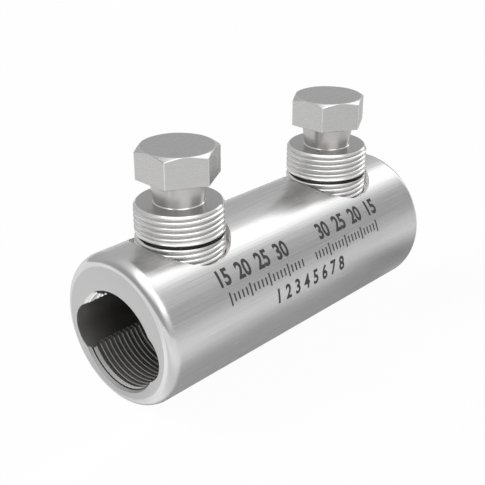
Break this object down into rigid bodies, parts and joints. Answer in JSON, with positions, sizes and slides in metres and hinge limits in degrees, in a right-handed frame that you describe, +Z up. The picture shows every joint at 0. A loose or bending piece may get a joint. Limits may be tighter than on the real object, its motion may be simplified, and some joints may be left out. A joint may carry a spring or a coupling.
{
  "type": "shear bolt connector",
  "caption": "Round metal cable connector with a ribbed bore in each end and a shear-off clamping screw over each bore.",
  "frame": {"origin": "under the middle of the barrel's length, on its lowest line", "axes": "+X along the barrel to the rear end, +Z up along the screws, +Y across"},
  "size_m": [0.072, 0.028, 0.0438],
  "materials": {
    "tinned_barrel": "tin-plated aluminium, brushed along its length",
    "turned_bolt": "bright turned, tin-plated",
    "turned_pad": "turned"
  },
  "bodies": {
    "barrel": {"connector_barrel": "tinned_barrel"},
    "front_pad": {"front_pressure_pad": "turned_pad"},
    "front_bolt": {"front_shear_bolt": "turned_bolt"},
    "rear_pad": {"rear_pressure_pad": "turned_pad"},
    "rear_bolt": {"rear_shear_bolt": "turned_bolt"}
  },
  "joints": [
    {"name": "front_screw_advance", "type": "slide", "parent": "barrel", "child": "front_pad", "axis": [0, 0, 1], "range_m": [-0.01201, 0.00101]},
    {"name": "front_screw_turn", "type": "hinge", "parent": "front_pad", "child": "front_bolt", "pos_m": [-0.0204, 0, 0.024], "axis": [0, 0, 1], "range_deg": [-4320, 360]},
    {"name": "rear_screw_advance", "type": "slide", "parent": "barrel", "child": "rear_pad", "axis": [0, 0, 1], "range_m": [-0.01201, 0.00101]},
    {"name": "rear_screw_turn", "type": "hinge", "parent": "rear_pad", "child": "rear_bolt", "pos_m": [0.0204, 0, 0.024], "axis": [0, 0, 1], "range_deg": [-4320, 360]}
  ],
  "couplings": [
    {"joint": "front_screw_advance", "follows": "front_screw_turn", "m_per_rad": 0.00015915},
    {"joint": "rear_screw_advance", "follows": "rear_screw_turn", "m_per_rad": 0.00015915}
  ]
}
